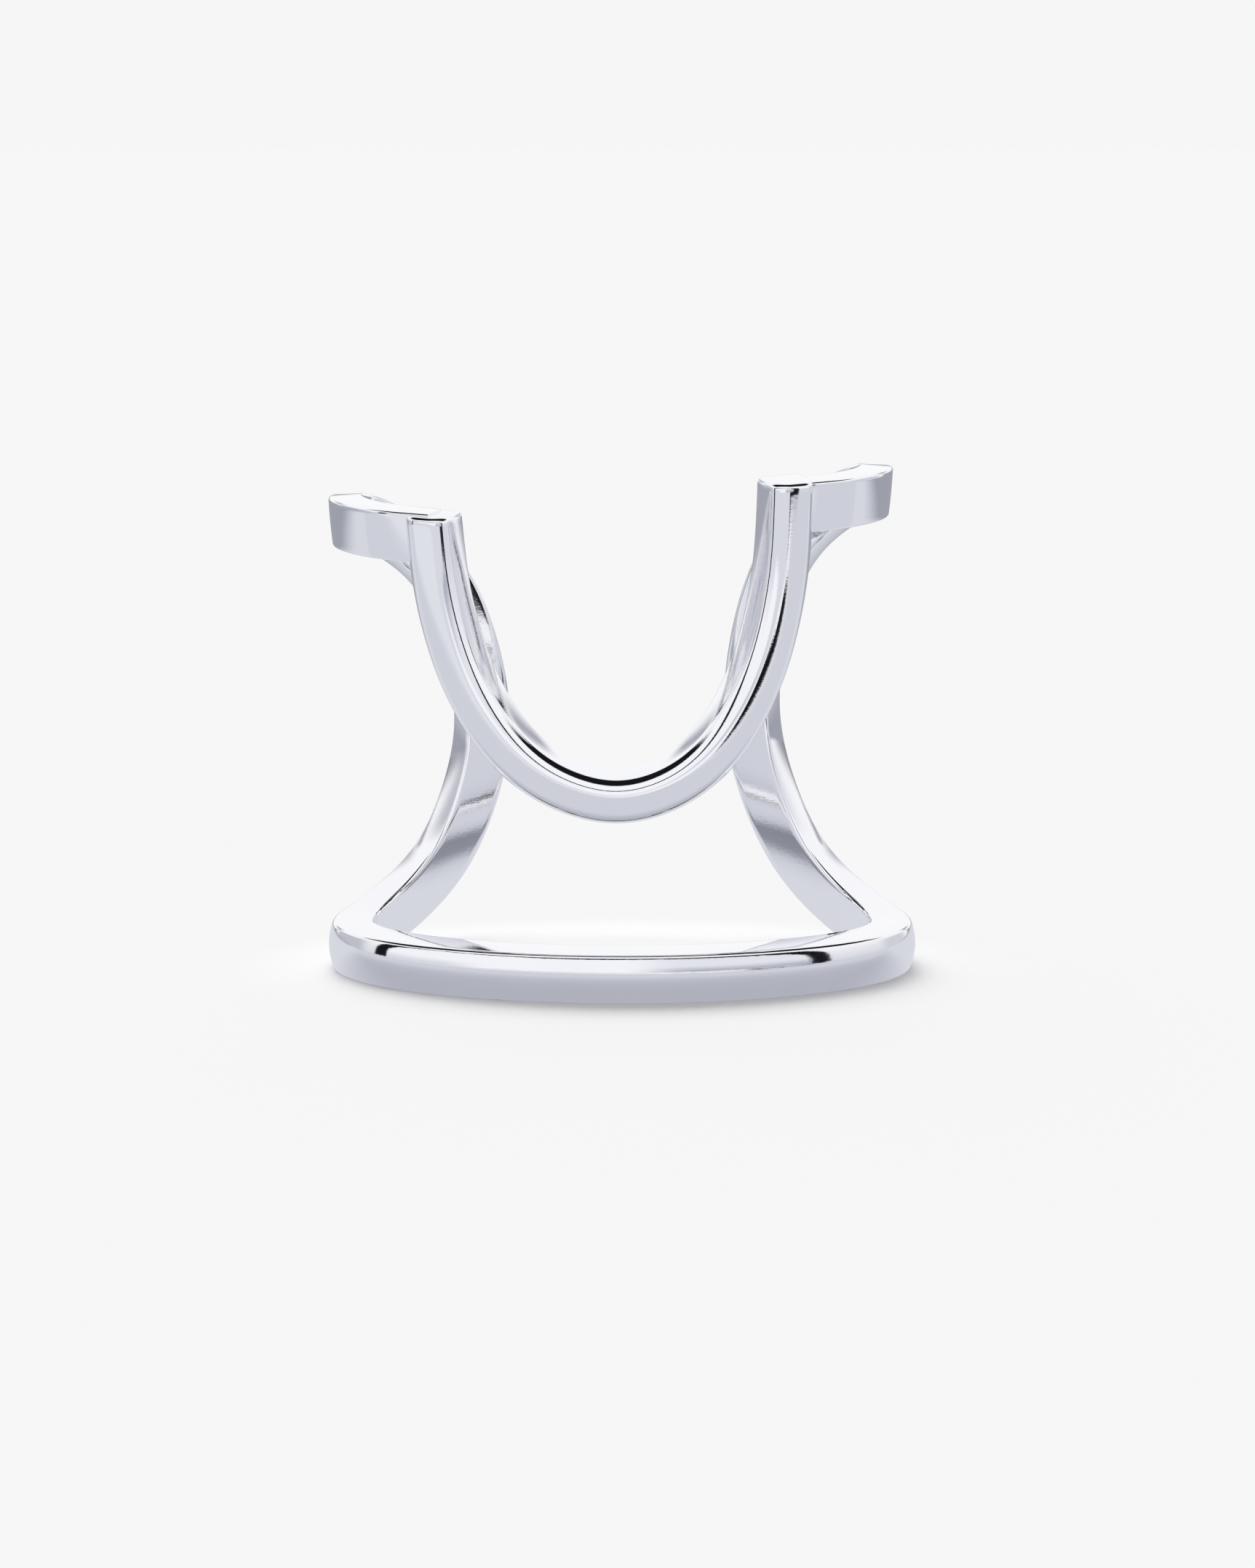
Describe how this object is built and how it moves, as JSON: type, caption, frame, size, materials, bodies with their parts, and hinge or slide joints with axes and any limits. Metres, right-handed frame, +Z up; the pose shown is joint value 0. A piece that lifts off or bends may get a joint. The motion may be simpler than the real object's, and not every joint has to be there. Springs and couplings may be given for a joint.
{
  "type": "nail ring",
  "caption": "Open finger ring of one polished band: a bowed bar, arcs rising round the back, and a U-shaped arch that frames the fingernail",
  "frame": {"origin": "centre of the ring's footprint box, on the plane that it rests on", "axes": "+Z up along the finger, +X to the viewer's right, -Y the side that the nail arch and the bar face"},
  "size_m": [0.018, 0.009, 0.0155],
  "materials": {
    "polished_silver": "mirror-polished silver with softened edges"
  },
  "bodies": {
    "root": {"nail_ring": "polished_silver"}
  },
  "joints": []
}
